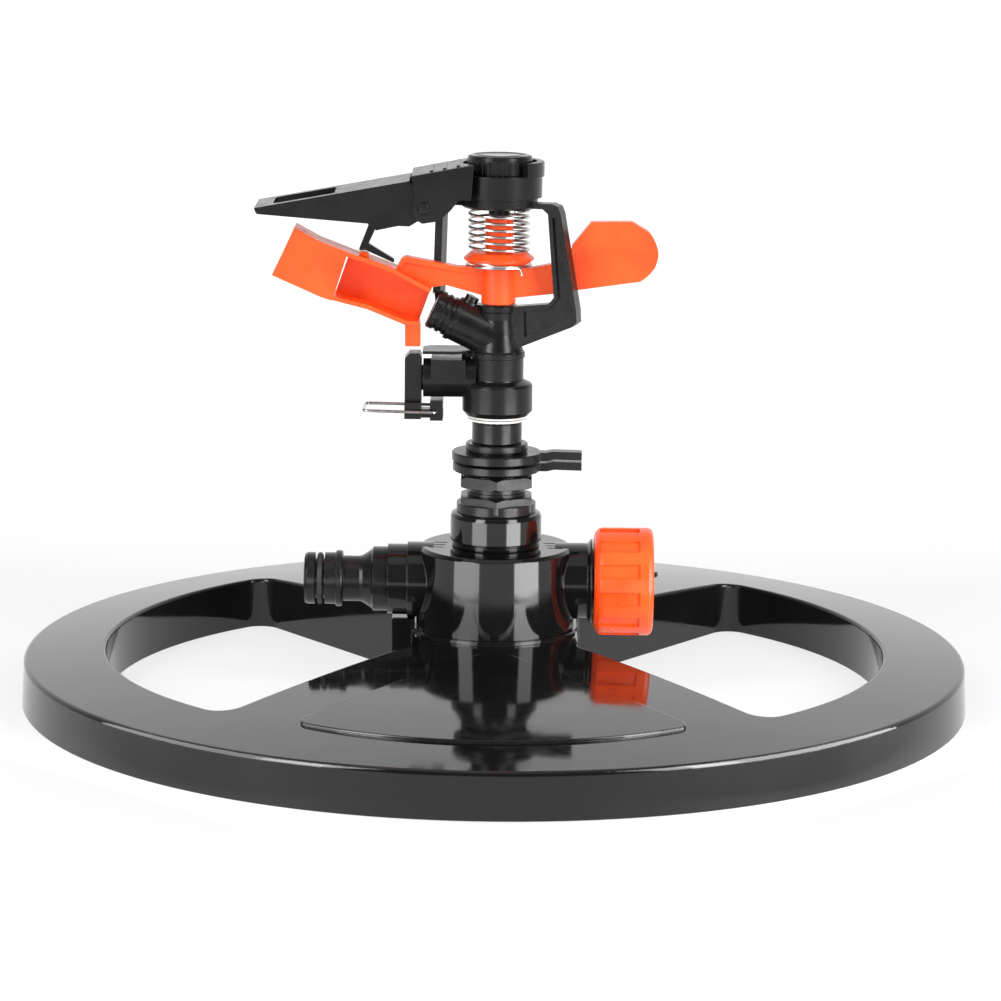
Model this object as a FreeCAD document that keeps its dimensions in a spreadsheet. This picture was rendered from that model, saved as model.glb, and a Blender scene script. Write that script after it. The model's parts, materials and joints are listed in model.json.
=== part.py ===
import FreeCAD, Part
import math
import os
import Sketcher

# Impact sprinkler on a round sled base. Millimetres, +Z up, origin at the centre of the
# underside of the base. The quick-connector tail points to -X and the hose nut to +X.

doc = FreeCAD.newDocument("impact_sprinkler")
sheet = doc.addObject("Spreadsheet::Sheet", "dims")
V = FreeCAD.Vector
_row = [0]
D = {}


def cell(alias, value):
    """A plain number in the sheet, with an alias."""
    _row[0] += 1
    sheet.set("A%d" % _row[0], alias)
    sheet.set("B%d" % _row[0], repr(round(float(value), 6)))
    sheet.setAlias("B%d" % _row[0], alias)
    D[alias] = round(float(value), 6)
    return alias


# ---- driving dimensions -------------------------------------------------------------
for _a, _v in (
    ("base_rad", 145.0), ("base_top_rad", 144.3), ("rim_height", 13.6), ("dome_rise", 21.0),
    ("wall", 2.6), ("open_rad", 119.3), ("web_x", 29.5), ("web_y", 28.6), ("web_slope", 1.327),
    ("open_inner_x", 25.6), ("panel_rad", 122.0), ("panel_lift", 1.1),
    ("inlet_z", 35.8), ("hub_low", 21.8), ("hub_top", 46.8), ("hub_rad_low", 24.3), ("hub_rad_top", 23.6),
    ("stem_rad", 5.4), ("bearing_clear", 0.06), ("pin_rad", 1.5), ("pin_clear", 0.05),
    ("nozzle_angle", 25.6), ("nozzle_z", 110.6), ("frame_turn", -18.0),
    ("flap_x", -22.6), ("flap_z", 151.8), ("trip_z", 98.7), ("wire_x", -18.5), ("wire_z", 89.0),
):
    cell(_a, _v)


def num(v):
    if isinstance(v, str):
        return -D[v[1:]] if v.startswith("-") else D[v]
    return float(v)


def ref(v):
    return "-dims." + v[1:] if v.startswith("-") else "dims." + v


def bind(obj, prop, key, v):
    """Ties a property to a cell: a named one, or a new one called after the object."""
    if not isinstance(v, str):
        v = cell("%s_%s" % (obj.Name, key), v)
    obj.setExpression(prop, ref(v))


def place(obj, pos=(0, 0, 0), axis=None, turn=None):
    """axis points the object's own Z; turn is (axis, degrees) instead."""
    r = FreeCAD.Rotation()
    if axis is not None:
        r = FreeCAD.Rotation(V(0, 0, 1), V(*axis))
    if turn is not None:
        r = FreeCAD.Rotation(V(*turn[0]), turn[1])
    obj.Placement = FreeCAD.Placement(V(*[num(p) for p in pos]), r)
    for c, p in zip("xyz", pos):
        if isinstance(p, str) or abs(p) > 1e-9:
            bind(obj, "Placement.Base." + c, "p" + c, p)
    return obj


def cyl(name, r, length, pos=(0, 0, 0), axis=None):
    o = doc.addObject("Part::Cylinder", name)
    bind(o, "Radius", "rad", r)
    bind(o, "Height", "len", length)
    return place(o, pos, axis)


def cone(name, r1, r2, length, pos=(0, 0, 0), axis=None):
    o = doc.addObject("Part::Cone", name)
    bind(o, "Radius1", "ra", r1)
    bind(o, "Radius2", "rb", r2)
    bind(o, "Height", "len", length)
    return place(o, pos, axis)


def box(name, lx, ly, lz, pos=(0, 0, 0), turn=None):
    o = doc.addObject("Part::Box", name)
    bind(o, "Length", "lx", lx)
    bind(o, "Width", "ly", ly)
    bind(o, "Height", "lz", lz)
    return place(o, pos, turn=turn)


def torus(name, ra, rb, pos=(0, 0, 0), axis=None):
    o = doc.addObject("Part::Torus", name)
    bind(o, "Radius1", "ra", ra)
    bind(o, "Radius2", "rb", rb)
    return place(o, pos, axis)


def sketch(name, pts, arcs=()):
    """A closed outline; arcs is {i: (x, y)} for a bulge point between point i and i+1."""
    arcs = dict(arcs)
    s = doc.addObject("Sketcher::SketchObject", name)
    p = [(num(a), num(b)) for a, b in pts]
    n = len(p)
    for i in range(n):
        a, b = V(p[i][0], p[i][1], 0), V(p[(i + 1) % n][0], p[(i + 1) % n][1], 0)
        if i in arcs:
            m = V(arcs[i][0], arcs[i][1], 0)
            ccw = (m - a).cross(b - a).z > 0
            s.addGeometry(Part.Arc(a, m, b) if ccw else Part.Arc(b, m, a))
        else:
            s.addGeometry(Part.LineSegment(a, b))

    def at(i, head):
        """Which end of edge i lies at its start (head) or its end."""
        g = s.Geometry[i]
        want = p[i] if head else p[(i + 1) % n]
        d1 = (g.StartPoint - V(want[0], want[1], 0)).Length
        d2 = (g.EndPoint - V(want[0], want[1], 0)).Length
        return 1 if d1 <= d2 else 2

    for i in range(n):
        s.addConstraint(Sketcher.Constraint("Coincident", i, at(i, False), (i + 1) % n, at((i + 1) % n, True)))
    for i in range(n):
        for kind, k in (("DistanceX", 0), ("DistanceY", 1)):
            c = s.addConstraint(Sketcher.Constraint(kind, -1, 1, i, at(i, True), p[i][k]))
            nm = "p%d%s" % (i, "xy"[k])
            s.renameConstraint(c, nm)
            v = pts[i][k]
            if not isinstance(v, str):
                v = cell("%s_%s" % (s.Name, nm), v)
            s.setExpression("Constraints." + nm, ref(v))
    for i in arcs:
        c = s.addConstraint(Sketcher.Constraint("Radius", i, s.Geometry[i].Radius))
        s.renameConstraint(c, "arc%d" % i)
        s.setExpression("Constraints.arc%d" % i, ref(cell("%s_arc%d" % (s.Name, i), s.Geometry[i].Radius)))
    return s


def turned(name, pts, pos=(0, 0, 0), axis=None):
    """A turned piece: pts are (radius, height) round the object's own Z."""
    s = sketch(name + "_profile", pts)
    s.Placement = FreeCAD.Placement(V(0, 0, 0), FreeCAD.Rotation(V(1, 0, 0), 90))
    r = doc.addObject("Part::Revolution", name)
    r.Source = s
    r.Axis = V(0, 0, 1)
    r.Base = V(0, 0, 0)
    r.Angle = 360
    r.Solid = True
    return place(r, pos, axis)


def plate(name, pts, low, thick, plane="XZ", arcs=(), turn=None):
    """An outline drawn in XY or XZ, given thickness from low along +Z or +Y."""
    s = sketch(name + "_outline", pts, arcs)
    e = doc.addObject("Part::Extrusion", name)
    e.Base = s
    e.DirMode = "Custom"
    e.Solid = True
    if plane == "XZ":
        s.Placement = FreeCAD.Placement(V(0, 0, 0), FreeCAD.Rotation(V(1, 0, 0), 90))
        e.Dir = V(0, 1, 0)
        where = (0, low, 0)
    else:
        e.Dir = V(0, 0, 1)
        where = (0, 0, low)
    bind(e, "LengthFwd", "len", thick)
    place(e, where, turn=turn)
    return e


def fuse(name, *parts):
    o = doc.addObject("Part::MultiFuse", name)
    o.Shapes = list(parts)
    o.Refine = True
    return o


def cut(name, a, b, *more):
    if more:
        b = fuse(name + "_tools", b, *more)
    o = doc.addObject("Part::Cut", name)
    o.Base, o.Tool = a, b
    o.Refine = True
    return o


def common(name, a, b):
    o = doc.addObject("Part::Common", name)
    o.Base, o.Tool = a, b
    return o


def rounded(name, base, radius, pick):
    """A Part::Fillet on the edges that pick(edge) chooses."""
    doc.recompute([base])
    o = doc.addObject("Part::Fillet", name)
    o.Base = base
    o.Edges = [(i + 1, radius, radius) for i, e in enumerate(base.Shape.Edges) if pick(e)]
    doc.recompute([o])
    if o.State and ("Invalid" in o.State or "Error" in o.State) or o.Shape.isNull() or not o.Shape.isValid():
        print("fillet dropped:", name, len(o.Edges))
        doc.removeObject(o.Name)
        return base
    return o


def mirrored(name, obj, normal):
    o = doc.addObject("Part::Mirroring", name)
    o.Source = obj
    o.Normal = V(*normal)
    o.Base = V(0, 0, 0)
    return o


NODES = {}


def node(name, obj):
    obj.Label = name
    NODES[name] = obj
    return obj


def dome_z(r):
    return D["dome_rise"] - 3.6e-4 * r * r


NX = (-1, 0, 0)
PX = (1, 0, 0)

# ---- base plate: a moulded shell with a shallow dome --------------------------------
R0, RT = D["base_rad"], D["base_top_rad"]
top_arc_mid = (72.0, dome_z(72.0))


def dome_solid(name, lift, r_out, r_top, z0):
    zr = D["rim_height"] + lift
    s = sketch(name + "_profile", [(0, z0), (r_out, z0), (r_top, zr), (0, D["dome_rise"] + lift)],
               {2: (top_arc_mid[0], top_arc_mid[1] + lift)})
    s.Placement = FreeCAD.Placement(V(0, 0, 0), FreeCAD.Rotation(V(1, 0, 0), 90))
    r = doc.addObject("Part::Revolution", name)
    r.Source, r.Axis, r.Base, r.Angle, r.Solid = s, V(0, 0, 1), V(0, 0, 0), 360, True
    return r


outer = dome_solid("plate_outer", 0.0, R0, RT, 0.0)


def opening_pts(grow, side):
    """The D-shaped opening, grown by grow: inner edge, web edge, arc, web edge."""
    m = D["web_slope"]
    off = grow * math.hypot(1, m)
    xi = D["open_inner_x"] - grow
    yi = D["web_y"] + m * (xi - D["web_x"]) + off
    ro = D["open_rad"] + grow
    # where the web edge y = web_y + m (x - web_x) + off meets the circle ro
    c0 = D["web_y"] - m * D["web_x"] + off
    a, b, c = 1 + m * m, 2 * m * c0, c0 * c0 - ro * ro
    xo = (-b + math.sqrt(b * b - 4 * a * c)) / (2 * a)
    yo = m * xo + c0
    return [(side * xi, -yi), (side * xo, -yo), (side * xo, yo), (side * xi, yi)], {1: (side * ro, 0)}


def vertical(e):
    return isinstance(e.Curve, Part.Line) and abs(e.tangentAt(e.FirstParameter).z) > 0.99


holes, guards = [], []
for side, tag in ((-1, "left"), (1, "right")):
    p, a = opening_pts(0.0, side)
    h = plate("opening_" + tag, p, -5, 40, "XY", a)
    h = rounded("opening_%s_round" % tag, h, 6.5, vertical)
    holes.append(h)
    p, a = opening_pts(D["wall"], side)
    g = plate("guard_" + tag, p, -8, 46, "XY", a)
    guards.append(rounded("guard_%s_round" % tag, g, 8.5, vertical))

cav = dome_solid("cavity_outer", -D["wall"], R0 - D["wall"], RT - D["wall"], -2.0)
core = cyl("plate_core", 29.0, 30.0, (0, 0, -3))
ribs = []
for i in range(12):
    a = 15 + 30 * i
    ribs.append(box("rib_%d" % i, 150, 1.8, 40, (-0.9 * -math.sin(math.radians(a)), -0.9 * math.cos(math.radians(a)), -10),
                    turn=((0, 0, 1), a)))
ring_rib = []
for i, r in enumerate((52.0, 76.0, 100.0, 131.0)):
    ring_rib.append(cut("ring_rib_%d" % i, cyl("ring_rib_%d_out" % i, r + 0.9, 40, (0, 0, -10)),
                        cyl("ring_rib_%d_in" % i, r - 0.9, 42, (0, 0, -11))))
cavity = cut("cavity", cav, core, *(guards + ribs + ring_rib))
# fan-shaped raised panels, front and back
ps = []
for sgn, tag in ((-1, "front"), (1, "back")):
    xp, yp = 56.5, 103.5
    o = [(-xp, sgn * yp), (xp, sgn * yp), (2.5, sgn * 36.0), (-2.5, sgn * 36.0)]
    pan = plate("panel_%s_fan" % tag, o, 5, 30, "XY", {0: (0, sgn * D["panel_rad"])})
    pan = rounded("panel_%s_fan_round" % tag, pan, 4.5, lambda e: vertical(e) and abs(e.Vertexes[0].X) > 20)
    ps.append(pan)
lifted = dome_solid("plate_lifted", D["panel_lift"], R0 - 3, RT - 3, 6.0)
panels = common("panels", lifted, fuse("panel_fans", *ps))
panels = rounded("panels_round", panels, 0.45,
                 lambda e: e.BoundBox.ZMin > 15.5 and e.Length > 5)
seat = cyl("hub_seat", 25.3, 8.0, (0, 0, 13.8))
post = box("socket_post", 7.0, 9.0, 24.15, (-31.6, -4.5, 0))
outer_r = rounded("plate_outer_round", outer, 1.3, lambda e: abs(e.BoundBox.ZMin - D["rim_height"]) < 0.05 and e.Length > 100)
pierced = rounded("plate_pierced_round", cut("plate_pierced", outer_r, *holes), 0.9,
                  lambda e: e.BoundBox.ZMin > 14.0 and abs(math.hypot(e.Vertexes[0].X, e.Vertexes[0].Y)) < 125)
plate_solid = fuse("plate_solid", cut("plate_shell", pierced, cavity), cut("panels_hollow", panels, cavity), seat)
well = cyl("screw_well", 21.5, 20.0, (0, 0, -3))
screw_at = [(15.5 * math.cos(math.radians(a)), 15.5 * math.sin(math.radians(a))) for a in (45, 135, 225, 315)]
shank_holes = [cyl("shank_hole_%d" % i, 2.1, 12, (x, y, 14)) for i, (x, y) in enumerate(screw_at)]
base = cut("base_plate_cut", fuse("plate_with_post", plate_solid, post), well, *shank_holes)
node("base_plate", base)

# ---- hub housing ---------------------------------------------------------------------
ZI = D["inlet_z"]
hub_body = turned("hub_body", [(0, "hub_low"), (24.3, "hub_low"), ("hub_rad_top", 45.8), (22.6, "hub_top"), (0, "hub_top")])
left_socket = cyl("left_socket", 10.9, 14, (-19.0, 0, "inlet_z"), NX)
socket_step = cyl("socket_step", 11.6, 8, (-19.0, 0, "inlet_z"), NX)
right_neck = cyl("right_neck", 11.75, 10.0, (18.2, 0, "inlet_z"), PX)
neck_flange = cone("neck_flange", 11.75, 13.0, 1.0, (28.2, 0, "inlet_z"), PX)
neck_lip = cyl("neck_lip", 13.0, 0.5, (29.2, 0, "inlet_z"), PX)
hub_all = fuse("hub_all", hub_body, left_socket, socket_step, right_neck, neck_flange, neck_lip)
chamber = cyl("chamber", 12.5, 15.0, (0, 0, 27.3))
top_bore = cyl("top_bore", 11.2, 8, (0, 0, 41))
left_bore = cyl("left_bore", 8.6, 16.0, (-17.0, 0, "inlet_z"), NX)
left_way = cyl("left_way", 5.0, 12.0, (-8, 0, "inlet_z"), NX)
right_bore = cyl("right_bore", 8.6, 17.0, (15.0, 0, "inlet_z"), PX)
right_way = cyl("right_way", 6.0, 12.0, (8, 0, "inlet_z"), PX)
slots = []
for j, sx in enumerate((-1, 1)):
    for i in range(3):
        slots.append(box("slot_%d_%d" % (j, i), 4.6, 0.9, 1.2,
                         (sx * 17.2 - 2.3 + sx * 0.5 * i, 2.4 - 3.6 * i + (0 if i else 0), 46.0)))
pilots = [cyl("pilot_%d" % i, 1.75, 7.5, (x, y, 21)) for i, (x, y) in enumerate(screw_at)]
hub = cut("hub_cut", hub_all, chamber, top_bore, left_bore, left_way, right_bore, right_way, *(slots + pilots))
node("hub_housing", hub)

scr = []
for i, (x, y) in enumerate(screw_at):
    head = cone("screw_head_%d" % i, 2.0, 3.4, 1.0, (x, y, 14.6))
    head2 = cyl("screw_pan_%d" % i, 3.4, 1.4, (x, y, 15.6))
    shank = cyl("screw_shank_%d" % i, 1.75, 11.0, (x, y, 16.9))
    cross = fuse("screw_drive_%d" % i, box("drive_a_%d" % i, 3.4, 0.8, 1.4, (x - 1.7, y - 0.4, 14.2)),
                 box("drive_b_%d" % i, 0.8, 3.4, 1.4, (x - 0.4, y - 1.7, 14.2)))
    scr.append(cut("screw_%d" % i, fuse("screw_solid_%d" % i, head, head2, shank), cross))
screws = doc.addObject("Part::Compound", "screws")
screws.Links = scr
node("base_screws", screws)

# ---- quick-connector tail and its seals ----------------------------------------------
# profile as (radius, distance towards -X from the hub's socket face at X = -33.05)
qc = turned("connector_turned", [
    (4.75, -8.0), (8.5, -8.0), (8.5, 0.0), (9.95, 0.0), (9.95, 4.4), (9.1, 5.0), (8.0, 6.6), (7.35, 7.6), (7.0, 8.6),
    (7.0, 13.6), (8.4, 13.9), (8.65, 14.3), (8.65, 15.6), (8.3, 16.0), (7.95, 16.1), (7.95, 19.3), (6.1, 19.4),
    (6.1, 22.2), (7.95, 22.3), (7.95, 24.6), (7.5, 25.4), (6.6, 25.65), (5.4, 25.65), (4.75, 25.0)],
    (-33.05, 0, "inlet_z"), NX)
node("quick_connector", qc)
node("connector_o_ring", torus("o_ring_torus", 7.03, 0.92, (-53.85, 0, "inlet_z"), NX))
node("connector_washer", cut("conn_washer_cut", cyl("conn_washer_out", 8.4, 1.9, (-23.1, 0, "inlet_z"), NX),
                             cyl("conn_washer_in", 5.0, 4, (-22, 0, "inlet_z"), NX)))

# ---- hose inlet: spigot, washer, swivel nut ------------------------------------------
spig = turned("spigot_turned", [(5.5, -6.0), (8.5, -6.0), (8.5, 0.0), (10.0, 0.0), (10.0, 4.2), (12.0, 4.2), (12.0, 6.4), (5.5, 6.4)],
              (29.7, 0, "inlet_z"), PX)
node("hose_spigot", spig)
node("hose_washer", cut("hose_washer_cut", cyl("hose_washer_out", 12.1, 2.4, (36.1, 0, "inlet_z"), PX),
                        cyl("hose_washer_in", 6.0, 6, (35, 0, "inlet_z"), PX)))
# nut profile as (radius, distance from X = 30.2)
nut0 = turned("nut_turned", [
    (10.1, 0.0), (13.6, 0.0), (15.2, 0.5), (16.3, 1.6), (16.55, 2.6), (16.55, 16.6), (16.1, 17.6), (15.2, 18.1),
    (13.25, 18.1), (13.25, 8.4), (12.5, 8.4), (12.5, 3.3), (10.1, 3.3)], (30.2, 0, "inlet_z"), PX)
flutes = []
for i in range(12):
    a = 30.0 * i + 8
    ca, sa = math.cos(math.radians(a)), math.sin(math.radians(a))
    f = doc.addObject("Part::Box", "flute_%d" % i)
    bind(f, "Length", "lx", 12.2)
    bind(f, "Width", "ly", 4.3)
    bind(f, "Height", "lz", 3.0)
    base_pt = V(31.9, 0, ZI) + V(0, -2.15 * ca - 15.75 * sa, -2.15 * sa + 15.75 * ca)
    f.Placement = FreeCAD.Placement(base_pt, FreeCAD.Rotation(V(1, 0, 0), a))
    flutes.append(f)
node("hose_nut", cut("hose_nut_cut", nut0, *flutes))

# ---- riser: socket, seal, adapter, bearing nipple -------------------------------------
rs = turned("riser_turned", [(8.6, 41.2), (11.1, 41.2), (11.1, 47.0), (13.4, 47.0), (13.4, 48.1), (13.0, 48.3), (13.0, 48.7), (13.95, 48.9),
                             (13.95, 56.2), (13.5, 57.2), (12.5, 57.6), (10.4, 57.6), (10.4, 52.0), (8.6, 52.0)])
node("riser_socket", rs)
node("socket_seal", cut("seal_cut", cyl("seal_out", 12.6, 0.2, (0, 0, 46.8)), cyl("seal_in", 11.1, 2, (0, 0, 46))))


def hexagon(name, af, z0, hgt, turn):
    r = af / math.sqrt(3)
    pts = [(r * math.cos(math.radians(60 * i + turn)), r * math.sin(math.radians(60 * i + turn))) for i in range(6)]
    return plate(name, pts, z0, hgt, "XY")


hex_a = common("hex_a", hexagon("hex_a_prism", 21.6, 58.2, 4.6, -90), turned("hex_a_turn", [
    (0, 58.2), (12.5, 58.2), (12.5, 62.2), (11.3, 62.8), (0, 62.8)]))
ring_a = cyl("adapter_ring", 12.1, 2.8, (0, 0, 57.6))
shank_a = cyl("adapter_shank", 10.4, 5.6, (0, 0, 52.0))
neck_a = cyl("adapter_neck", 8.9, 1.4, (0, 0, 62.4))
adapter = cut("adapter_cut", fuse("adapter_solid", hex_a, ring_a, shank_a, neck_a), cyl("adapter_bore", 8.4, 20, (0, 0, 50)))
node("riser_adapter", adapter)
hex_b = common("hex_b", hexagon("hex_b_prism", 21.6, 65.6, 3.5, -90), turned("hex_b_turn", [
    (0, 65.6), (11.6, 65.6), (12.4, 66.1), (12.4, 68.5), (11.5, 69.1), (0, 69.1)]))
nip = turned("nipple_turned", [(0, 53.0), (8.4, 53.0), (8.4, 65.6), (10.0, 65.6), (10.0, 69.4), (9.0, 69.6), (9.0, 76.5), (9.5, 76.7), (9.5, 78.6), (9.2, 78.9), (0, 78.9)])
nip_bore = cyl("nipple_bore", 5.46, 40, (0, 0, 50))
node("bearing_nipple", cut("nipple_cut", fuse("nipple_solid", nip, hex_b), nip_bore))


def stop_ring(tag, r, z0, z1, tz0, tz1, turn):
    ring = turned("stop_%s_turned" % tag, [(9.06, z0), (r - 0.3, z0), (r, z0 + 0.3), (r, z1 - 0.3), (r - 0.3, z1), (9.06, z1)])
    tab = plate("stop_%s_tab" % tag, [(11.0, z0 + 0.1), (15.5, z0 + 0.1), (17.5, tz0), (26.0, tz0 - 0.2), (26.0, tz1 - 0.2), (17.2, tz1), (15.0, z1 - 0.1), (11.0, z1 - 0.1)], -2.4, 4.8)
    return fuse("stop_%s" % tag, ring, tab)


node("stop_ring_lower", stop_ring("lower", 13.4, 70.3, 72.9, 70.9, 73.3, 0))
node("stop_ring_upper", stop_ring("upper", 13.7, 73.4, 76.2, 74.1, 76.5, 0))

# ---- rotating head ---------------------------------------------------------------------
stem = turned("stem_turned", [(4.0, 49.2), (7.6, 49.2), (7.6, 51.4), ("stem_rad", 51.4), ("stem_rad", 96.0), (4.0, 96.0)])
node("stem_tube", stem)
node("stem_seal", cut("stem_seal_cut", cyl("stem_seal_out", 7.4, 1.2, (0, 0, 51.4)), cyl("stem_seal_in", 5.4, 3, (0, 0, 51))))
node("dust_sleeve", cut("dust_cut", turned("dust_out", [(0, 79.2), (7.6, 79.2), (7.6, 85.2), (7.9, 85.4), (7.9, 86.0), (0, 86.0)]),
                        cyl("dust_in", 6.8, 6.0, (0, 0, 78.5)), cyl("dust_hole", 5.6, 10, (0, 0, 78))))
wsh = doc.addObject("Part::Compound", "washer_pair")
wsh.Links = [cut("washer_a", cyl("washer_a_out", 9.0, 0.6, (0, 0, 86.0)), cyl("washer_a_in", 5.5, 3, (0, 0, 85))),
             cut("washer_b", cyl("washer_b_out", 9.0, 0.6, (0, 0, 86.9)), cyl("washer_b_in", 5.5, 3, (0, 0, 86)))]
node("thrust_washers", wsh)
node("washer_spacer", cut("spacer_cut", cyl("spacer_out", 8.3, 0.3, (0, 0, 86.6)), cyl("spacer_in", 5.5, 3, (0, 0, 85))))


def spring(name, r, wire, pitch, z0, turns, by_turn=False):
    """A helical wire spring, its axis along Z. A long one is swept turn by turn."""
    hgt = pitch * turns
    h = Part.makeLongHelix(pitch, hgt, r) if by_turn else Part.makeHelix(pitch, hgt, r)
    h.translate(V(0, 0, z0))
    prof = Part.Wire([Part.Circle(V(r, 0, z0), V(0, 1, pitch / (2 * math.pi * r)), wire / 2).toShape()])
    sw = Part.Wire(h.Edges).makePipeShell([prof], True, True)
    return sw


def feature(name, shape, placement=None):
    o = doc.addObject("Part::Feature", name)
    o.Shape = shape
    if placement is not None:
        o.Placement = placement
    return o


cell("bearing_spring_rad", 6.2)
cell("bearing_spring_wire", 0.8)
cell("bearing_spring_pitch", 1.45)
node("bearing_spring", feature("bearing_spring_wire_body", spring("bs", D["bearing_spring_rad"], D["bearing_spring_wire"], D["bearing_spring_pitch"], 79.75, 2.8)))

# body: skirt, neck, boss, nozzle barrel and bridge in one moulding
NA = math.radians(D["nozzle_angle"])
ax = (-math.cos(NA), 0, math.sin(NA))
NZ = D["nozzle_z"]


def along(s, up=0.0):
    """A point s along the nozzle's axis and up from it."""
    return (ax[0] * s + math.sin(NA) * up, 0, NZ + ax[2] * s + math.cos(NA) * up)


body_t = turned("body_turned", [(0, 87.5), (9.4, 87.5), (10.7, 89.0), (10.7, 96.6), (10.2, 97.4), (8.1, 98.4), (7.9, 98.8), (7.9, 105.2),
                                (8.3, 105.4), (8.3, 106.8), (7.7, 107.6), (7.1, 109.6), (6.3, 112.5), (5.6, 117.0), (5.6, 119.2), (6.1, 119.6), (6.1, 121.0), (5.8, 121.3), (0, 121.3)])
barrel = cyl("barrel", 6.6, 15.6, (0, 0, "nozzle_z"), ax)
barrel_ring = cyl("barrel_ring", 6.9, 1.4, along(14.2), ax)
# bridge frame, drawn flat and turned about Z
FT = D["frame_turn"]
fr_out = plate("frame_outline", [(-19.6, 147.0), (-19.2, 150.5), (-17.0, 152.9), (17.0, 152.9), (19.2, 152.2), (20.1, 150.0), (25.4, 121.0), (25.6, 117.2), (24.2, 116.0), (7.0, 108.6),
                                 (-7.0, 108.6), (-18.6, 114.6), (-20.2, 116.6), (-20.4, 119.0)], -2.5, 5.0)
fr_in = plate("frame_window", [(-17.2, 149.2), (-14.0, 151.2), (14.4, 151.2), (16.1, 149.8), (18.3, 124.6), (16.6, 122.6), (5.0, 121.2), (-5.0, 121.2), (-16.4, 121.4), (-17.9, 123.2)], -6, 12.0)
fr0 = cut("frame_cut", fr_out, fr_in)
pk1 = plate("web_pocket_front", [(17.5, 148.8), (18.7, 148.8), (23.9, 121.0), (24.0, 118.6), (9.2, 112.1), (8.8, 119.9), (17.0, 121.3), (19.6, 124.4)], -3.0, 1.6)
pk2 = plate("web_pocket_rear", [(17.5, 148.8), (18.7, 148.8), (23.9, 121.0), (24.0, 118.6), (9.2, 112.1), (8.8, 119.9), (17.0, 121.3), (19.6, 124.4)], 1.4, 1.6)
fr1 = cut("frame_relieved", fr0, pk1, pk2)
fr1t = doc.addObject("Part::Compound", "frame_turned")
fr1t.Links = [fr1]
fr1t.Placement = FreeCAD.Placement(V(0, 0, 0), FreeCAD.Rotation(V(0, 0, 1), FT))
top_disc = turned("bridge_disc", [(0, 151.0), (10.9, 151.0), (11.6, 151.6), (11.6, 154.3), (0, 154.3)])
trip_cyl = cyl("trip_barrel", 5.9, 16.0, (-22.6, 0, "trip_z"), PX)
trip_top = box("trip_flat", 10.4, 11.8, 6.2, (-20.2, -5.9, 98.7))
shelf = plate("trip_shelf", [(-22.8, -4.0), (-12.0, -4.0), (-6.0, 0.0), (-6.0, 9.0), (-20.5, 9.0), (-22.8, 6.5)], 106.4, 0.9, "XY")
shelf_leg = box("shelf_leg", 3.0, 6.0, 2.4, (-11.0, 1.0, 104.4))
breaker_boss = cyl("breaker_boss", 2.7, 1.9, along(12.6, 5.0), (math.sin(NA), 0, math.cos(NA)))
body0 = fuse("body_solid", body_t, barrel, barrel_ring, breaker_boss, fr1t, top_disc, trip_cyl, trip_top, shelf, shelf_leg)
body_bore = cyl("body_bore", 5.45, 8.6, (0, 0, 87.4))
body_way = turned("body_way", [(0, 95.0), (5.45, 95.0), (5.45, 96.2), (4.0, 97.5), (4.0, 111.0), (0, 113.0)])
jet_way = cyl("jet_way", 4.2, 17.5, (0, 0, "nozzle_z"), ax)
tip_seat = cyl("tip_seat", 5.2, 6.0, along(10.0), ax)
trip_bore = cyl("trip_bore", 4.4, 11.5, (-23.5, 0, "trip_z"), PX)
trip_pin_hole = cyl("trip_pin_hole", 1.5, 5.0, (-12.5, 0, "trip_z"), PX)
pivot_hole = cyl("pivot_hole", 1.5, 7.0, (0, 0, 114.6))
pivot_top = cyl("pivot_top", 3.36, 3.6, (0, 0, 150.9))
tip_clear = cyl("tip_clear", 6.4, 8.0, along(15.6), ax)
breaker_hole = cyl("breaker_hole", 1.25, 6.0, along(12.6, 4.4), (math.sin(NA), 0, math.cos(NA)))
body = cut("sprinkler_body_cut", body0, body_bore, body_way, jet_way, tip_seat, trip_bore, trip_pin_hole, pivot_hole, pivot_top, breaker_hole, tip_clear)
node("sprinkler_body", body)

# nozzle tip, turned about the jet's axis; (radius, distance from the barrel's face)
noz = turned("nozzle_turned", [
    (4.0, -5.6), (5.2, -5.6), (5.2, 0.0), (6.15, 0.0), (6.15, 1.2), (5.7, 1.4), (5.7, 2.0), (6.15, 2.2), (6.15, 3.2), (5.7, 3.4), (5.7, 4.0),
    (6.15, 4.2), (6.15, 5.9), (5.6, 6.4), (2.6, 6.4), (1.9, 5.6), (1.9, 1.0)], along(15.6), ax)
node("nozzle", noz)
bx = along(12.6, 5.25)
UP = (math.sin(NA), 0, math.cos(NA))
bs_shank = cyl("breaker_shank", 1.2, 2.5, bx, UP)
bh = along(12.6, 6.9)
bs_head = cyl("breaker_head", 2.1, 1.6, bh, UP)
bd = along(12.6, 7.8)
bs_slot = box("breaker_slot", 5.0, 0.7, 1.4, (bd[0] - 2.5, -0.35, bd[2]), None)
bs_slot.Placement = FreeCAD.Placement(V(bd[0], 0, bd[2]), FreeCAD.Rotation(V(0, 0, 1), V(*UP))).multiply(
    FreeCAD.Placement(V(-2.5, -0.35, 0), FreeCAD.Rotation()))
for _c in "xyz":
    bs_slot.setExpression("Placement.Base." + _c, None)
node("jet_breaker_screw", cut("breaker_cut", fuse("breaker_solid", bs_shank, bs_head), bs_slot))

node("arm_pivot_pin", cyl("pivot_pin", "pin_rad", 39.4, (0, 0, 114.8)))

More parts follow.
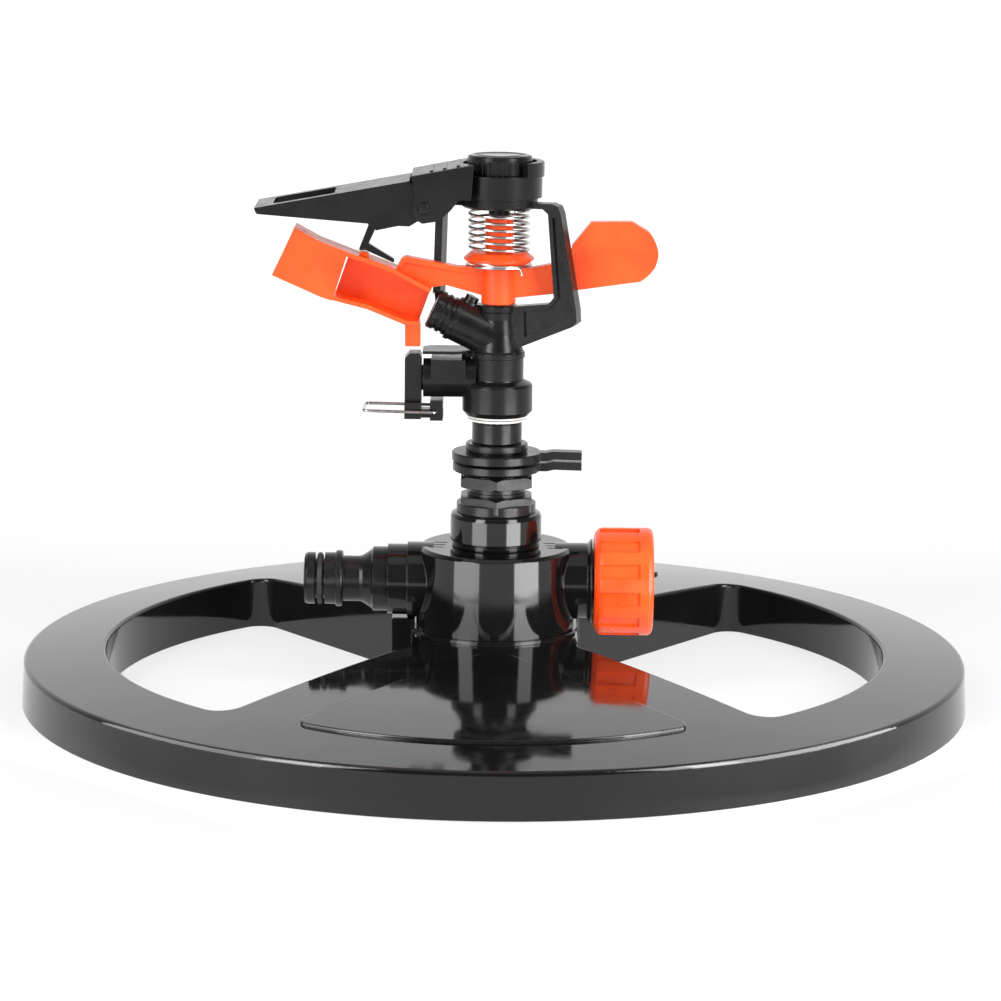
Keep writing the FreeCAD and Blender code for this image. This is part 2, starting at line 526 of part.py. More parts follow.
# hood bracket: ring on the bridge, raised guard wall and two cheeks
ring_b = turned("bracket_ring", [(10.6, 154.3), (12.9, 154.3), (12.9, 160.9), (12.6, 161.2), (10.6, 161.2)])
ring_floor = cut("bracket_floor", cyl("bracket_floor_out", 11.5, 1.2, (0, 0, 154.3)), cyl("bracket_floor_in", 3.6, 3, (0, 0, 153.5)))
guard_sec = turned("bracket_guard_turned", [(11.3, 160.6), (13.4, 160.6), (13.5, 160.9), (13.5, 164.8), (13.2, 165.1), (11.3, 165.1)])
g_cut = plate("bracket_guard_mask", [(0, 0), (16.0, -20.0), (30.0, -20.0), (30.0, 30.0), (-16.0, 30.0), (-9.0, 12.0)], 158, 12, "XY")
guard_w = common("bracket_guard", guard_sec, g_cut)
cheek_pts = [(-26.4, 161.2), (-25.2, 155.0), (-26.0, 151.6), (-25.4, 148.6), (-23.0, 147.2), (-18.0, 148.0), (-14.6, 151.2), (-12.2, 154.3), (-8.5, 154.3), (-7.7, 164.6), (-9.5, 164.5)]
cheek_a = plate("cheek_near", cheek_pts, -13.4, 1.1)
cheek_b = plate("cheek_far", cheek_pts, 12.3, 1.1)
br_top = plate("bracket_top", [(-26.4, 161.3), (-26.4, 160.7), (-9.5, 163.4), (-7.7, 163.5), (-7.7, 164.6), (-9.5, 164.6)], -12.4, 24.8)
ridges = [plate("bracket_ridge_%d" % i, [(x, zt - 0.6), (x + 1.0, zt - 0.4), (x + 1.0, zt + 0.55), (x, zt + 0.35)], -9.5, 19.0)
          for i, (x, zt) in enumerate([(x, 161.3 + (x + 26.4) * 3.3 / 16.9) for x in (-21.0, -17.0, -13.0)])]
clear_cap = cyl("bracket_cap_bore", 11.3, 12, (0, 0, 161.1))
mask_ring = cyl("bracket_ring_bore", 10.6, 5.8, (0, 0, 155.5))
rib_b = plate("bracket_rib", [(-12.4, 154.3), (-12.0, 154.3), (-12.0, 162.2), (-13.2, 162.0)], -12.4, 24.8)
hb = cut("hood_bracket_cut", fuse("hood_bracket_solid", ring_b, ring_floor, guard_w, cheek_a, cheek_b, br_top, rib_b, *ridges), clear_cap, mask_ring,
         cyl("bracket_pin_hole", 1.6, 40, ("flap_x", -20, "flap_z"), (0, 1, 0)))
node("hood_bracket", hb)
node("flap_pin", fuse("flap_pin_solid", cyl("flap_pin_shank", 1.6, 27.6, ("flap_x", -13.8, "flap_z"), (0, 1, 0)),
                      turned("flap_pin_head", [(0, 0), (1.85, 0), (1.85, 0.3), (1.5, 0.8), (0, 0.9)], ("flap_x", -13.4, "flap_z"), (0, -1, 0)),
                      turned("flap_pin_tail", [(0, 0), (2.1, 0), (2.1, 0.3), (1.5, 0.8), (0, 0.9)], ("flap_x", 13.4, "flap_z"), (0, 1, 0))))

# tension cap: knurled, with a stem through the bridge that holds the spring's top end
cap_t = turned("cap_turned", [(1.6, 148.6), (3.3, 148.6), (3.3, 155.6), (9.4, 155.6), (9.9, 161.3), (10.05, 161.4), (10.05, 165.4), (9.75, 165.7), (9.7, 166.4), (9.4, 166.7), (0, 166.7), (0, 164.9), (1.6, 164.9)])
knurls = [cyl("knurl_%d" % i, 0.42, 4.6, (10.25 * math.cos(math.radians(12 * i)), 10.25 * math.sin(math.radians(12 * i)), 160.9)) for i in range(30)]
node("tension_cap", cut("cap_cut", cap_t, *knurls))

# trip mechanism
tp = cyl("trip_pin_body", 1.5, 18.6, (-27.0, 0, "trip_z"), PX)
node("trip_pin", tp)
lever_plate = plate("lever_plate", [(-28.2, 88.6), (-23.1, 88.6), (-23.1, 105.4), (-23.6, 106.6), (-26.8, 106.6), (-28.2, 105.0)], -4.0, 8.0)
lever_boss = cyl("lever_boss", 3.9, 3.2, (-23.2, 0, "trip_z"), PX)
lever_low = box("lever_low", 11.8, 5.0, 2.6, (-28.2, -2.5, 86.6))
lever_lug = box("lever_lug", 3.9, 13.0, 5.8, (-20.4, -6.5, 86.4))
lever_end = box("lever_end", 5.1, 13.0, 5.0, (-28.2, -6.5, 86.8))
lever = cut("lever_cut", fuse("lever_solid", lever_plate, lever_boss, lever_low, lever_lug, lever_end),
            cyl("lever_bore", 1.55, 12, (-30, 0, "trip_z"), PX),
            cyl("lever_wire_hole", 0.6, 20, ("wire_x", -10, "wire_z"), (0, 1, 0)),
            cyl("lever_clear", 6.2, 14, (-23.0, 0, "trip_z"), PX))
# the boss sits inside the barrel, so it is joined back after the clearance cut
lever2 = fuse("lever_whole", lever, cut("lever_boss_ring", cyl("lever_boss_b", 3.9, 3.4, (-23.3, 0, "trip_z"), PX), cyl("lever_bore_b", 1.55, 12, (-30, 0, "trip_z"), PX)))
node("trip_lever", lever2)
cell("trip_spring_rad", 3.0)
cell("trip_spring_wire", 0.6)
cell("trip_spring_pitch", 1.1)
tsp = spring("ts", D["trip_spring_rad"], D["trip_spring_wire"], D["trip_spring_pitch"], 0.0, 4.8)
node("trip_spring", feature("trip_spring_body", tsp, FreeCAD.Placement(V(-18.6, 0, D["trip_z"]), FreeCAD.Rotation(V(0, 0, 1), V(1, 0, 0)))))

# trip wire: a U of spring wire pivoting in the lever's lug
WX, WZ = D["wire_x"], D["wire_z"]
cell("trip_wire_rad", 0.5)


def tube(points, radius, arc):
    """A round wire along straight runs with tangent arcs at the corners."""
    pts = [V(*p) for p in points]
    edges, start = [], pts[0]
    for i in range(1, len(pts) - 1):
        a, b, c = pts[i - 1], pts[i], pts[i + 1]
        u, w = (a - b).normalize(), (c - b).normalize()
        half = u.getAngle(w) / 2
        t = arc / math.tan(half)
        p1, p2 = b + u * t, b + w * t
        bis = (u + w).normalize()
        mid = b + bis * (arc / math.sin(half) - arc)
        edges.append(Part.LineSegment(start, p1).toShape())
        edges.append(Part.Arc(p1, mid, p2).toShape())
        start = p2
    edges.append(Part.LineSegment(start, pts[-1]).toShape())
    w = Part.Wire(edges)
    prof = Part.Wire([Part.Circle(pts[0], (pts[1] - pts[0]), radius).toShape()])
    return w.makePipeShell([prof], True, True)


# both ends of the wire turn inwards through the lug, and stop short of each other
wire_shape = tube([(WX, -0.6, WZ), (WX, -7.6, WZ), (-40.6, -7.0, WZ + 0.4), (-40.6, 7.0, WZ + 0.4), (WX, 7.6, WZ), (WX, 0.6, WZ)], D["trip_wire_rad"], 1.4)
node("trip_wire", feature("trip_wire_body", wire_shape))

# ---- deflector flap ---------------------------------------------------------------------
side_pts = [(-73.4, 151.2), (-72.6, 149.4), (-39.3, 146.9), (-36.8, 144.9), (-30.3, 146.3), (-26.9, 146.2), (-24.6, 147.6), (-20.6, 149.4), (-20.2, 152.6), (-21.6, 154.6), (-24.4, 156.5), (-27.0, 159.8)]
wall_a = plate("flap_wall_near", side_pts, -12.1, 1.1)
wall_b = plate("flap_wall_far", side_pts, 11.0, 1.1)
flap_top = plate("flap_top", [(-73.4, 151.2), (-73.0, 150.0), (-27.2, 158.7), (-27.0, 159.8)], -12.1, 24.2)
# window near the tip, oval slot behind it
win = plate("flap_window", [(-68.0, -8.5), (-50.5, -8.5), (-49.5, -7.5), (-49.5, 7.5), (-50.5, 8.5), (-68.0, 8.5)], 140, 30, "XY")
win_r = rounded("flap_window_round", win, 2.0, lambda e: vertical(e) and e.Vertexes[0].X < -60)
slot = plate("flap_slot", [(-40.4, -2.4), (-32.6, -2.4), (-32.6, 2.4), (-40.4, 2.4)], 140, 30, "XY")
slot_r = rounded("flap_slot_round", slot, 2.2, vertical)
strut = plate("flap_strut", [(-39.4, 149.0), (-36.2, 149.5), (-37.2, 144.5), (-39.4, 139.6), (-31.8, 135.0), (-31.6, 134.2), (-32.0, 133.9), (-40.4, 137.6), (-42.3, 137.5), (-42.2, 138.3), (-39.6, 145.0)], -1.2, 2.4)
strut_x = box("flap_strut_bridge", 4.0, 23.0, 2.6, (-39.9, -11.5, 148.0))
pin_clear = cyl("flap_pin_bore", 1.65, 40, ("flap_x", -20, "flap_z"), (0, 1, 0))
flap = cut("flap_cut", fuse("flap_solid", wall_a, wall_b, flap_top, strut, strut_x), win_r, pin_clear)
node("deflector_flap", flap)

# ---- impact arm --------------------------------------------------------------------------
boss = turned("arm_boss", [(0, 121.65), (5.0, 121.65), (5.25, 122.0), (5.25, 134.0), (9.0, 134.0), (10.7, 135.3), (10.7, 135.7), (8.6, 137.5), (4.3, 137.9), (4.3, 148.0), (0, 148.0)])
beam_r = plate("arm_beam_right", [(3.0, 123.8), (5.2, 123.7), (16.5, 125.0), (24.1, 126.3), (26.0, 130.0), (22.6, 139.0), (16.0, 134.0), (9.0, 132.6), (3.0, 132.9)], -2.0, 4.0)
paddle = plate("arm_paddle", [(22.1, 139.7), (27.8, 146.9), (40.2, 147.1), (45.2, 144.1), (48.2, 137.8), (47.1, 133.1), (42.8, 129.0), (24.1, 126.3), (21.0, 130.0)], -2.2, 4.4,
               arcs={3: (47.2, 141.1), 4: (47.95, 135.4), 5: (45.2, 130.8)})
beam_l = plate("arm_beam_left", [(-3.0, 133.0), (-12.4, 133.0), (-28.0, 135.9), (-29.2, 135.5), (-30.6, 133.2), (-30.9, 131.7), (-20.6, 125.7), (-20.2, 126.5), (-15.8, 127.2), (-5.2, 124.3), (-3.0, 124.0)], -1.2, 2.4)
rim_l = plate("arm_rim_left", [(-3.0, 133.0), (-12.4, 133.0), (-28.0, 135.9), (-29.2, 135.5), (-30.6, 133.2), (-29.9, 132.4), (-28.3, 134.2), (-12.2, 131.4), (-3.0, 131.4)], -2.2, 4.4)
TOP = [(-61.6, 144.8), (-54.2, 140.8), (-43.8, 136.8), (-40.4, 135.9), (-31.8, 132.7), (-20.2, 126.6)]
BOT = [(-68.4, 130.3), (-53.6, 123.8), (-39.4, 120.2), (-28.3, 115.7), (-24.0, 115.3)]


def shifted(pts, d):
    out = []
    for i, (x, z) in enumerate(pts):
        a, b = pts[max(i - 1, 0)], pts[min(i + 1, len(pts) - 1)]
        tx, tz = b[0] - a[0], b[1] - a[1]
        n = math.hypot(tx, tz)
        out.append((x + tz / n * d, z - tx / n * d))
    return out


top_in, bot_in = shifted(TOP, 1.3), shifted(BOT, -1.3)
top_rim = plate("spoon_top_rim", TOP + top_in[::-1], -6.4, 12.8)
bot_rim = plate("spoon_bottom_rim", BOT + bot_in[::-1], -6.4, 12.8)


def on(poly, x):
    for (x0, z0), (x1, z1) in zip(poly, poly[1:]):
        if x0 <= x <= x1:
            return z0 + (z1 - z0) * (x - x0) / (x1 - x0)
    return poly[0][1] if x < poly[0][0] else poly[-1][1]


# front wall, tip side; back wall, nozzle side; a narrow slit shows between them
front = plate("spoon_front_wall", [(-61.6, 144.8), (-54.2, 140.8), (-45.55, 137.3), (-50.15, 122.75), (-53.6, 123.8), (-68.4, 130.3)], -6.4, 1.4)
back = plate("spoon_back_wall", [(-45.0, 137.1), (-43.8, 136.8), (-40.4, 135.9), (-31.8, 132.7), (-20.2, 126.6), (-24.0, 116.0), (-24.0, 115.3), (-28.3, 115.7), (-39.4, 120.2), (-49.4, 122.75), (-49.6, 124.0)], 4.6, 1.4)
leg = plate("arm_leg", [(-28.2, 108.4), (-23.6, 108.4), (-23.6, 114.4), (-24.0, 116.6), (-28.3, 117.0)], -1.7, 7.7)
bump = plate("arm_bump", [(-42.3, 136.0), (-39.0, 135.2), (-39.4, 136.6), (-40.4, 137.1), (-41.9, 137.15)], -1.8, 3.6)
arm = cut("arm_cut", fuse("arm_solid", boss, beam_r, paddle, beam_l, rim_l, top_rim, bot_rim, front, back, leg, bump),
          cyl("arm_bore", 2.6, 40, (0, 0, 115)),)
node("impact_arm", arm)
node("arm_bushing", cut("bushing_cut", cyl("bushing_out", 2.6, 26.35, (0, 0, 121.65)), cyl("bushing_in", 1.56, 40, (0, 0, 115))))
cell("arm_spring_rad", 9.1)
cell("arm_spring_wire", 0.85)
cell("arm_spring_pitch", 1.95)
node("arm_spring", feature("arm_spring_body", spring("as", D["arm_spring_rad"], D["arm_spring_wire"], D["arm_spring_pitch"], 138.3, 6.25, True)))

# ---- check and write --------------------------------------------------------------------
doc.recompute()
bad = [o.Name for o in doc.Objects if "Invalid" in o.State or "Error" in o.State]
for o in doc.Objects:
    if o.TypeId == "Part::Cut":
        lost = o.Base.Shape.Volume - o.Shape.Volume
        shared = o.Base.Shape.common(o.Tool.Shape).Volume
        if abs(lost - shared) > 0.01 * shared + 0.05 or lost < 1e-3:
            bad.append("%s cuts %.2f of %.2f" % (o.Name, lost, shared))
    if o.TypeId == "Part::MultiFuse":
        top, total = max(q.Shape.Volume for q in o.Shapes), sum(q.Shape.Volume for q in o.Shapes)
        if not top * 0.999 <= o.Shape.Volume <= total * 1.001:
            bad.append("%s fuses to %.2f" % (o.Name, o.Shape.Volume))
if bad:
    raise RuntimeError("failed features: %s" % bad)
os.makedirs("parts", exist_ok=True)
for f in os.listdir("parts"):
    if f.endswith(".step"):
        os.remove(os.path.join("parts", f))
for name, obj in NODES.items():
    sh = obj.Shape
    if sh.isNull() or not sh.isValid() or not sh.Solids:
        raise RuntimeError("bad shape: " + name)
    b = sh.BoundBox
    print("%-18s solids %d vol %9.1f  x %.1f..%.1f y %.1f..%.1f z %.1f..%.1f" % (name, len(sh.Solids), sh.Volume, b.XMin, b.XMax, b.YMin, b.YMax, b.ZMin, b.ZMax))
    sh.exportStep(os.path.join("parts", name + ".step"))
print(len(NODES), "nodes")
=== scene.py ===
import json
import math
import bpy
import bmesh
from mathutils import Euler, Matrix, Vector


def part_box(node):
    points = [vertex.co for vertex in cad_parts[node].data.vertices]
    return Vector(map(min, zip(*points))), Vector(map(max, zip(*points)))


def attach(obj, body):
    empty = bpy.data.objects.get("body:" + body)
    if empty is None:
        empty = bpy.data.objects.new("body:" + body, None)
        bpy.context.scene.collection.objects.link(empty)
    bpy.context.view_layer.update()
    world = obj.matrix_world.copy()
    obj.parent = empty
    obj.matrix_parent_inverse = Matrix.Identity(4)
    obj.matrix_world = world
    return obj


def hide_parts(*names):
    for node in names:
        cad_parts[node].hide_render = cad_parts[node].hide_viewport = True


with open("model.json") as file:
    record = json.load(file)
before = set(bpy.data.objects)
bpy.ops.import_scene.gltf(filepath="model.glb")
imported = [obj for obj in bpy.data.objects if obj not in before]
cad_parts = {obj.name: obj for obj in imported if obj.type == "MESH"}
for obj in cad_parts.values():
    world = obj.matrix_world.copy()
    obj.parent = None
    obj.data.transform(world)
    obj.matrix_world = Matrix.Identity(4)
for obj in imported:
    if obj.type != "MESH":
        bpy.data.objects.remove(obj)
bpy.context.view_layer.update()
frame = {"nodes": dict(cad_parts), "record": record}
M = 0.001


# ---------------------------------------------------------------- materials
class Mat:
    """A small helper for node materials on the row frame's own coordinates (metres)."""

    def __init__(self, name, **values):
        self.m = bpy.data.materials.new(name)
        self.m.use_nodes = True
        self.t = self.m.node_tree
        self.b = self.t.nodes["Principled BSDF"]
        for k, v in values.items():
            self.b.inputs[k.replace("_", " ")].default_value = v
        self.co = self.t.nodes.new("ShaderNodeTexCoord").outputs["Object"]

    def node(self, kind, **values):
        n = self.t.nodes.new(kind)
        for k, v in values.items():
            if k in n.inputs:
                n.inputs[k].default_value = v
            else:
                setattr(n, k, v)
        return n

    def link(self, a, b):
        self.t.links.new(a, b)

    def noise(self, scale, detail=3.0, rough=0.5, stretch=None):
        co = self.co
        if stretch:
            mp = self.node("ShaderNodeMapping")
            mp.inputs["Scale"].default_value = stretch
            self.link(co, mp.inputs["Vector"])
            co = mp.outputs["Vector"]
        n = self.node("ShaderNodeTexNoise", Scale=scale, Detail=detail, Roughness=rough)
        self.link(co, n.inputs["Vector"])
        return n.outputs["Fac"]

    def remap(self, fac, lo, hi, a=0.3, b=0.7):
        r = self.node("ShaderNodeMapRange")
        for k, v in (("From Min", a), ("From Max", b), ("To Min", lo), ("To Max", hi)):
            r.inputs[k].default_value = v
        self.link(fac, r.inputs["Value"])
        return r.outputs["Result"]

    def colour(self, fac, dark, light, a=0.35, b=0.65):
        r = self.node("ShaderNodeValToRGB")
        r.color_ramp.elements[0].position, r.color_ramp.elements[1].position = a, b
        r.color_ramp.elements[0].color, r.color_ramp.elements[1].color = (*dark, 1), (*light, 1)
        self.link(fac, r.inputs["Fac"])
        self.link(r.outputs["Color"], self.b.inputs["Base Color"])

    def rough(self, fac, lo, hi):
        self.link(self.remap(fac, lo, hi), self.b.inputs["Roughness"])

    def bump(self, *layers, bevel=0.0):
        """layers of (fac, height in metres); a small bevel softens the moulded edges."""
        last = None
        if bevel:
            bv = self.node("ShaderNodeBevel", samples=4)
            bv.inputs["Radius"].default_value = bevel
            last = bv.outputs["Normal"]
        for fac, h in layers:
            bp = self.node("ShaderNodeBump")
            bp.inputs["Strength"].default_value = 1.0
            bp.inputs["Distance"].default_value = h
            self.link(fac, bp.inputs["Height"])
            if last is not None:
                self.link(last, bp.inputs["Normal"])
            last = bp.outputs["Normal"]
        self.link(last, self.b.inputs["Normal"])


def gloss_black():
    k = Mat("gloss_black", IOR=1.5, Specular_IOR_Level=0.5)
    k.colour(k.noise(35, 2), (0.0030, 0.0030, 0.0034), (0.0055, 0.0055, 0.0060))
    k.rough(k.noise(140, 4, 0.6), 0.045, 0.10)
    k.bump((k.noise(28, 1.5), 0.00007), (k.noise(2600, 2), 0.0000012), bevel=0.0005)
    return k.m


def satin_black():
    k = Mat("satin_black", IOR=1.5, Specular_IOR_Level=0.32)
    k.colour(k.noise(90, 3), (0.0045, 0.0045, 0.0048), (0.0090, 0.0090, 0.0095))
    k.rough(k.noise(260, 4, 0.6), 0.20, 0.32)
    k.bump((k.noise(55, 1.0), 0.00003), (k.noise(5200, 2), 0.000003), bevel=0.00025)
    return k.m


def orange():
    k = Mat("orange", IOR=1.48, Subsurface_Weight=0.12, Subsurface_Scale=0.0012)
    k.b.inputs["Subsurface Radius"].default_value = (1.0, 0.35, 0.12)
    k.colour(k.noise(70, 3), (0.86, 0.068, 0.007), (0.96, 0.098, 0.012))
    k.rough(k.noise(300, 4, 0.6), 0.24, 0.38)
    k.bump((k.noise(45, 1.0), 0.00004), (k.noise(4200, 2), 0.0000025), bevel=0.0003)
    return k.m


def steel():
    k = Mat("steel", Metallic=1.0)
    k.colour(k.noise(900, 3), (0.50, 0.49, 0.48), (0.68, 0.67, 0.66))
    k.rough(k.noise(1500, 4), 0.14, 0.30)
    k.bump((k.noise(9000, 2), 0.000003), bevel=0.00012)
    return k.m


def pale_acetal():
    k = Mat("pale_acetal", IOR=1.48)
    k.colour(k.noise(400, 3), (0.70, 0.69, 0.66), (0.84, 0.83, 0.80))
    k.rough(k.noise(700, 3), 0.30, 0.45)
    k.bump((k.noise(3000, 2), 0.000004), bevel=0.00015)
    return k.m


def rubber():
    k = Mat("rubber", IOR=1.5)
    k.colour(k.noise(500, 3), (0.010, 0.010, 0.010), (0.022, 0.022, 0.022))
    k.rough(k.noise(600, 3), 0.55, 0.75)
    k.bump((k.noise(3500, 3), 0.000010), bevel=0.0001)
    return k.m


MATS = {"gloss_black": gloss_black(), "satin_black": satin_black(), "orange": orange(), "steel": steel(),
        "pale_acetal": pale_acetal(), "rubber": rubber()}
for s in frame["record"]["subparts"]:
    o = frame["nodes"][s["node"]]
    for ms in o.material_slots:
        ms.material = MATS[s["material_slot"]]


# ---------------------------------------------------------------- mesh helpers
def mesh_object(name, verts, faces, mat, smooth=True):
    me = bpy.data.meshes.new(name)
    me.from_pydata([tuple(v) for v in verts], [], faces)
    me.update()
    bm = bmesh.new()
    bm.from_mesh(me)
    bmesh.ops.recalc_face_normals(bm, faces=bm.faces)
    bm.to_mesh(me)
    bm.free()
    for p in me.polygons:
        p.use_smooth = smooth
    me.materials.append(MATS[mat])
    o = bpy.data.objects.new(name, me)
    bpy.context.scene.collection.objects.link(o)
    return o


def wire_tube(name, pts, r, mat, sides=14):
    """A closed tube of radius r along points, with rounded ends."""
    pts = [Vector(p) for p in pts]
    tang = []
    for i in range(len(pts)):
        a, b = pts[max(i - 1, 0)], pts[min(i + 1, len(pts) - 1)]
        tang.append((b - a).normalized())
    n = tang[0].orthogonal().normalized()
    rings = []
    rows = []
    # rounded start and end: rings that shrink along the tangent
    caps = [(math.cos(t), math.sin(t)) for t in (math.radians(d) for d in (80, 60, 35, 12))]
    seq = [(pts[0] - tang[0] * r * c1, tang[0], r * c0, 0) for c0, c1 in [(math.cos(math.radians(d)), math.sin(math.radians(d))) for d in (80, 58, 32)]]
    seq += [(p, t, r, 0) for p, t in zip(pts, tang)]
    seq += [(pts[-1] + tang[-1] * r * c1, tang[-1], r * c0, 0) for c0, c1 in [(math.cos(math.radians(d)), math.sin(math.radians(d))) for d in (32, 58, 80)]]
    last = tang[0]
    for c, t, rr, _ in seq:
        q = last.rotation_difference(t)
        n = (q @ n).normalized()
        n = (n - t * n.dot(t)).normalized()
        last = t
        b = t.cross(n)
        rows.append([c + (n * math.cos(2 * math.pi * k / sides) + b * math.sin(2 * math.pi * k / sides)) * rr for k in range(sides)])
    verts = [v for row in rows for v in row]
    faces = []
    for i in range(len(rows) - 1):
        for k in range(sides):
            a, b2 = i * sides + k, i * sides + (k + 1) % sides
            faces.append((a, b2, b2 + sides, a + sides))
    faces.append(tuple(range(sides))[::-1])
    faces.append(tuple((len(rows) - 1) * sides + k for k in range(sides)))
    return mesh_object(name, verts, faces, mat)


def ring_ridge(name, prof, axis, centre, mat, seg=96, turns=None, pitch=0.0, taper=0.0):
    """A closed ridge of the given (radius, along) profile, swept round an axis; turns and pitch make it a thread."""
    ax = Vector(axis)
    u = ax.orthogonal().normalized()
    w = ax.cross(u)
    full = turns is None
    n = seg if full else int(seg * turns) + 1
    rows = []
    for i in range(n):
        t = 2 * math.pi * i / seg
        f = 1.0
        if not full and taper:
            f = max(0.02, min(1.0, i / (seg * taper), (n - 1 - i) / (seg * taper)))
        mid = sum(p[0] for p in (prof[0], prof[-1])) / 2
        rows.append([Vector(centre) + (u * math.cos(t) + w * math.sin(t)) * (mid + (r - mid) * f) + ax * (a + pitch * t / (2 * math.pi)) for r, a in prof])
    m = len(prof)
    verts = [v for row in rows for v in row]
    faces = []
    for i in range(n if full else n - 1):
        j = (i + 1) % n
        for k in range(m):
            k2 = (k + 1) % m
            faces.append((i * m + k, i * m + k2, j * m + k2, j * m + k))
    if not full:
        faces.append(tuple(range(m)))
        faces.append(tuple((n - 1) * m + k for k in range(m))[::-1])
    return mesh_object(name, verts, faces, mat)


# ---------------------------------------------------------------- the arm spring
# An open coil between the cap's skirt and the arm's seat. Its lowest turn lies as a closed ring round the boss
# and ends in a short hook.
lo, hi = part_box("arm_spring")
R = 9.1 * M
z_top, z_coil, z_seat = hi.z - 0.4 * M if hasattr(hi, "z") else hi[2] - 0.4 * M, 138.0 * M, 133.45 * M
path = []
turns, start = 6.3, math.radians(-60)
N = 64
# seat ring, nearly flat, a little wider
for i in range(int(N * 0.95)):
    t = i / N
    path.append((t, 9.75 * M, z_seat + 0.25 * M * t))
# rising lead-in to the coil
for i in range(int(N * 0.75)):
    s = (i + 1) / (N * 0.75)
    t = 0.95 + 0.75 * s
    e = s * s * (3 - 2 * s)
    path.append((t, 9.75 * M + (R - 9.75 * M) * e, z_seat + 0.24 * M + (z_coil - z_seat - 0.24 * M) * e))
t0 = 1.70
for i in range(1, int(N * turns) + 1):
    s = i / (N * turns)
    path.append((t0 + turns * s, R, z_coil + (z_top - z_coil) * s))
pts = [(r * math.cos(start - 2 * math.pi * t), r * math.sin(start - 2 * math.pi * t), z) for t, r, z in path]
# the hook at the low end: a short leg bent outward and down
a = start
d = Vector((math.cos(a), math.sin(a), 0))
tan = Vector((-math.sin(a), math.cos(a), 0))
p0 = Vector(pts[0])
hook = [p0 + tan * 1.4 * M + d * 0.15 * M - Vector((0, 0, 0.25 * M)), p0 + tan * 0.7 * M + d * 0.05 * M]
tail = [hook[0] + tan * 0.7 * M - Vector((0, 0, 0.9 * M)), hook[0] + tan * 0.9 * M - Vector((0, 0, 1.9 * M))]
pts = [tail[1], tail[0], hook[0], hook[1]] + [Vector(p) for p in pts]
spring = wire_tube("arm_spring_wire", pts, 0.44 * M, "steel", 16)
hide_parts("arm_spring")
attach(spring, "arm")

# ---------------------------------------------------------------- threads
nut_thread = ring_ridge("nut_thread", [(13.32 * M, 0), (12.45 * M, 0.85 * M), (12.45 * M, 1.15 * M), (13.32 * M, 2.0 * M)], (1, 0, 0), (39.6 * M, 0, 35.8 * M),
                        "orange", 96, turns=2.9, pitch=2.2 * M, taper=0.15)
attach(nut_thread, "nut")

# ---------------------------------------------------------------- small moulded details
def lathe(name, prof, centre, mat, seg=96):
    """A closed solid turned about Z from (radius, z) points, its axis end points at radius 0."""
    verts, faces, rows = [], [], []
    for r, z in prof:
        if r == 0:
            rows.append([len(verts)])
            verts.append((centre[0], centre[1], centre[2] + z))
        else:
            rows.append(list(range(len(verts), len(verts) + seg)))
            verts += [(centre[0] + r * math.cos(2 * math.pi * i / seg), centre[1] + r * math.sin(2 * math.pi * i / seg), centre[2] + z) for i in range(seg)]
    for a, b in zip(rows, rows[1:]):
        for i in range(seg):
            j = (i + 1) % seg
            if len(a) == 1:
                faces.append((a[0], b[i], b[j]))
            elif len(b) == 1:
                faces.append((a[i], a[j], b[0]))
            else:
                faces.append((a[i], a[j], b[j], b[i]))
    return mesh_object(name, verts, faces, mat)


# the cap's polished top: a shallow dished disc with a ring step
top = lathe("cap_top_disc", [(0, -0.1 * M), (9.2 * M, -0.1 * M), (9.2 * M, 0.10 * M), (9.05 * M, 0.16 * M), (8.5 * M, 0.16 * M), (8.3 * M, 0.04 * M),
                             (6.2 * M, 0.04 * M), (6.0 * M, 0.10 * M), (3.1 * M, 0.10 * M), (2.9 * M, 0.04 * M), (0, 0.04 * M)], (0, 0, 166.7 * M), "gloss_black")
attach(top, "cap")

# ---------------------------------------------------------------- stage, lights, camera
sc = bpy.context.scene
# painted light: the floor is dark (albedo 0.2) but made to glow, so it reads pale even where the object shades it;
# its glow is 0.74 at the front and under the object and rises to 1.0 towards the back (Y 0.16 to 0.55 m)
st = bpy.data.materials.new("glowing_floor_painted_light")
st.use_nodes = True
sb = st.node_tree.nodes["Principled BSDF"]
sb.inputs["Base Color"].default_value = (0.20, 0.20, 0.20, 1)
sb.inputs["Roughness"].default_value = 0.7
sb.inputs["Specular IOR Level"].default_value = 0.15
sb.inputs["Emission Color"].default_value = (1, 1, 1, 1)
fco = st.node_tree.nodes.new("ShaderNodeTexCoord")
fsep = st.node_tree.nodes.new("ShaderNodeSeparateXYZ")
floor_glow_by_y = st.node_tree.nodes.new("ShaderNodeMapRange")
for k, v in (("From Min", 0.16), ("From Max", 0.55), ("To Min", 0.74), ("To Max", 1.0)):
    floor_glow_by_y.inputs[k].default_value = v
st.node_tree.links.new(fco.outputs["Object"], fsep.inputs["Vector"])
st.node_tree.links.new(fsep.outputs["Y"], floor_glow_by_y.inputs["Value"])
st.node_tree.links.new(floor_glow_by_y.outputs["Result"], sb.inputs["Emission Strength"])
me = bpy.data.meshes.new("floor")
me.from_pydata([(-6, -6, 0), (6, -6, 0), (6, 6, 0), (-6, 6, 0)], [], [(0, 1, 2, 3)])
me.materials.append(st)
floor = bpy.data.objects.new("floor", me)
sc.collection.objects.link(floor)
floor.location.z = -0.0002

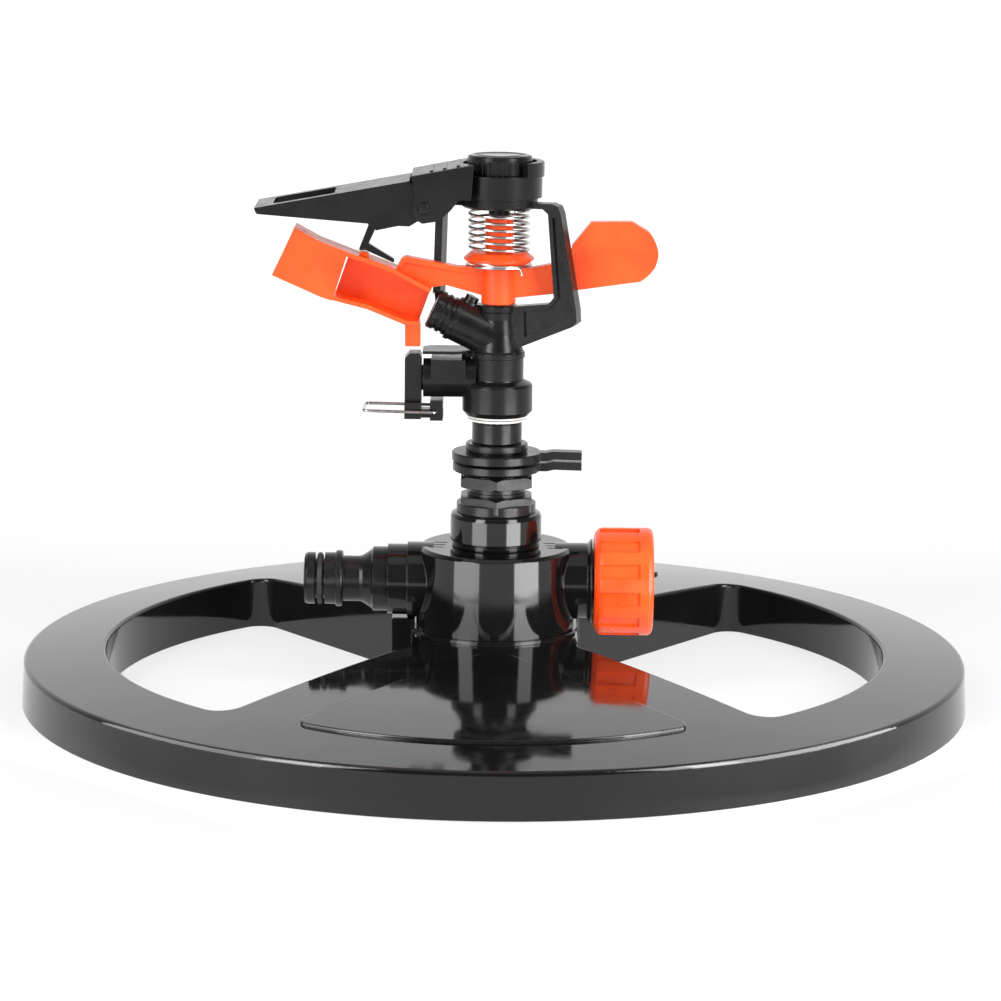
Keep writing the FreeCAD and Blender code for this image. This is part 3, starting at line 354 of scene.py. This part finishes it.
w = bpy.data.worlds.new("studio")
sc.world = w
w.use_nodes = True
nt = w.node_tree
bg = nt.nodes["Background"]
tc = nt.nodes.new("ShaderNodeTexCoord")
sep = nt.nodes.new("ShaderNodeSeparateXYZ")
nt.links.new(tc.outputs["Generated"], sep.inputs["Vector"])
mr = nt.nodes.new("ShaderNodeMapRange")
for k, v in (("From Min", 0.20), ("From Max", 0.93), ("To Min", 0.14), ("To Max", 1.15)):
    mr.inputs[k].default_value = v
nt.links.new(sep.outputs["Y"], mr.inputs["Value"])
nt.links.new(mr.outputs["Result"], bg.inputs["Color"])
bg.inputs["Strength"].default_value = 1.0


def area(name, loc, target, sx, sy, power):
    li = bpy.data.lights.new(name, "AREA")
    li.shape, li.size, li.size_y, li.energy = "RECTANGLE", sx, sy, power
    ob = bpy.data.objects.new(name, li)
    sc.collection.objects.link(ob)
    ob.location = loc
    ob.rotation_euler = (Vector(target) - Vector(loc)).to_track_quat("-Z", "Y").to_euler()
    return ob


area("softbox_left", (-0.72, -0.74, 0.60), (0, 0, 0.09), 0.42, 0.90, 10.5)
area("softbox_right", (0.76, -0.70, 0.60), (0, 0, 0.09), 0.42, 0.90, 11.5)
# two low cards just outside the rim, for the upright reflections on the hub
for card in (area("card_left", (-0.1025, -0.1205, 0.037), (-0.009, -0.022, 0.037), 0.106, 0.05, 0.085),
             area("card_right", (0.110, -0.114, 0.037), (0.0095, -0.022, 0.037), 0.103, 0.05, 0.160)):
    card.visible_camera = False
area("overhead", (-0.10, -0.15, 1.3), (0, 0, 0.05), 1.1, 0.9, 1.5)

cam = bpy.data.cameras.new("camera")
cam.lens, cam.sensor_width, cam.sensor_fit = 134.70, 36.0, "HORIZONTAL"
cam.clip_start, cam.clip_end = 0.02, 50
co = bpy.data.objects.new("camera", cam)
sc.collection.objects.link(co)
co.matrix_world = Matrix.Translation((0.00133, -1.1272, 0.2802)) @ Matrix.Rotation(math.radians(78.9806), 4, "X") @ Matrix.Rotation(math.radians(0.6634), 4, "Z")
sc.camera = co
sc.view_settings.view_transform = "Standard"
